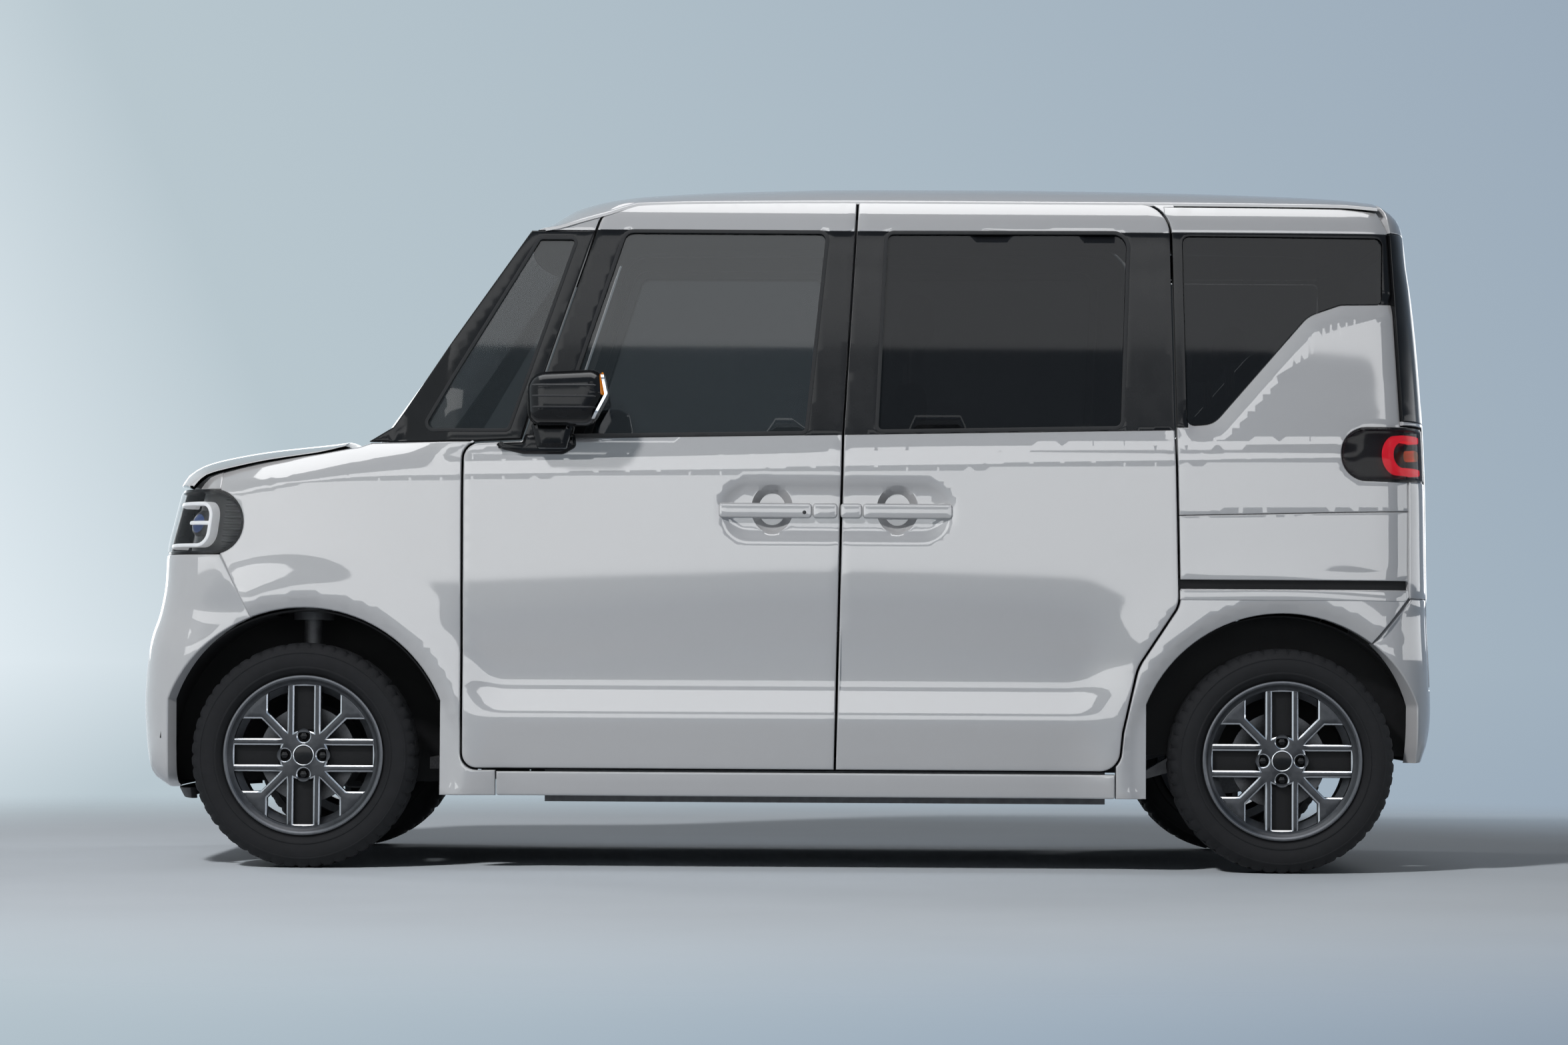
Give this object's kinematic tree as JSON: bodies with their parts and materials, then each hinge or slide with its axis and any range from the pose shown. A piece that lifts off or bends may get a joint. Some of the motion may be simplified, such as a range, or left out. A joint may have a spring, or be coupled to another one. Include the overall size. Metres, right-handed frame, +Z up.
{
  "type": "kei car",
  "caption": "Small tall electric car with hinged front doors, sliding rear doors, a lifting tailgate and four alloy wheels",
  "frame": {"origin": "on the ground under the middle of the car", "axes": "X to the rear, Y to the car's right, Z up"},
  "size_m": [3.395, 1.77, 1.8],
  "materials": {
    "paint": "pearl white, clear coated",
    "underbody": "satin black",
    "black_trim": "gloss black",
    "glass": "tinted",
    "lamp_clear": "clear lens",
    "lamp_red": "red lens",
    "liner": "moulded, matt",
    "dash": "grained",
    "cloth": "woven",
    "casing": "cast",
    "iron": "as cast",
    "alloy": "gunmetal, machined edges",
    "tyre": "matt rubber"
  },
  "bodies": {
    "body": {"floor_pan": "underbody", "sills": "paint", "front_frame": "underbody", "pillars": "black_trim", "roof": "paint", "fenders": "paint", "rear_sides": "paint", "sliding_doors": "paint", "front_bumper": "paint", "front_panel": "black_trim", "rear_bumper": "paint", "rear_corners": "paint", "windscreen": "glass", "side_glass": "glass", "headlamps": "lamp_clear", "tail_lamps": "lamp_red", "wheel_liners": "liner", "dashboard": "dash", "front_seats": "cloth", "rear_seat": "cloth", "battery_pack": "casing", "drive_unit": "casing", "front_subframe": "underbody", "rear_axle": "underbody", "wipers": "black_trim"},
    "door_left": {"front_door_left": "paint", "front_glass_left": "glass", "mirror_left": "black_trim"},
    "door_right": {"front_door_right": "paint", "front_glass_right": "glass", "mirror_right": "black_trim"},
    "bonnet": {"bonnet": "paint"},
    "tailgate": {"tailgate": "paint", "tailgate_glass": "glass"},
    "knuckle_left": {"knuckle_left": "iron"},
    "knuckle_right": {"knuckle_right": "iron"},
    "wheel_front_left": {"rim_front_left": "alloy", "tyre_front_left": "tyre"},
    "wheel_front_right": {"rim_front_right": "alloy", "tyre_front_right": "tyre"},
    "wheel_rear_left": {"rim_rear_left": "alloy", "tyre_rear_left": "tyre"},
    "wheel_rear_right": {"rim_rear_right": "alloy", "tyre_rear_right": "tyre"},
    "steering_wheel": {"steering_wheel": "dash"}
  },
  "joints": [
    {"name": "door_left_hinge", "type": "hinge", "parent": "body", "child": "door_left", "pos_m": [-0.8, -0.714, 0.79], "axis": [0, 0, -1], "range_deg": [0, 66]},
    {"name": "door_right_hinge", "type": "hinge", "parent": "body", "child": "door_right", "pos_m": [-0.8, 0.714, 0.79], "axis": [0, 0, 1], "range_deg": [0, 66]},
    {"name": "bonnet_hinge", "type": "hinge", "parent": "body", "child": "bonnet", "pos_m": [-1.15, 0, 1.08], "axis": [0, 1, 0], "range_deg": [0, 50]},
    {"name": "tailgate_hinge", "type": "hinge", "parent": "body", "child": "tailgate", "pos_m": [1.549, 0, 1.733], "axis": [0, -1, 0], "range_deg": [0, 82]},
    {"name": "steer_left", "type": "hinge", "parent": "body", "child": "knuckle_left", "pos_m": [-1.25, -0.56597, 0.2895], "axis": [0, 0.0951, 0.9955], "range_deg": [-32, 32]},
    {"name": "steer_right", "type": "hinge", "parent": "body", "child": "knuckle_right", "pos_m": [-1.25, 0.56597, 0.2895], "axis": [0, -0.0951, 0.9955], "range_deg": [-32, 32]},
    {"name": "wheel_front_left_spin", "type": "hinge", "parent": "knuckle_left", "child": "wheel_front_left", "pos_m": [-1.25, -0.645, 0.2895], "axis": [0, 1, 0], "continuous": true},
    {"name": "wheel_front_right_spin", "type": "hinge", "parent": "knuckle_right", "child": "wheel_front_right", "pos_m": [-1.25, 0.645, 0.2895], "axis": [0, 1, 0], "continuous": true},
    {"name": "wheel_rear_left_spin", "type": "hinge", "parent": "body", "child": "wheel_rear_left", "pos_m": [1.27, -0.645, 0.2895], "axis": [0, 1, 0], "continuous": true},
    {"name": "wheel_rear_right_spin", "type": "hinge", "parent": "body", "child": "wheel_rear_right", "pos_m": [1.27, 0.645, 0.2895], "axis": [0, 1, 0], "continuous": true},
    {"name": "steering_wheel_turn", "type": "hinge", "parent": "body", "child": "steering_wheel", "pos_m": [-0.47, 0.34, 1], "axis": [0.866, 0, 0.5], "range_deg": [-417, 417]}
  ],
  "couplings": [
    {"joint": "steer_right", "follows": "steer_left", "ratio": 1},
    {"joint": "steering_wheel_turn", "follows": "steer_left", "ratio": 13}
  ]
}
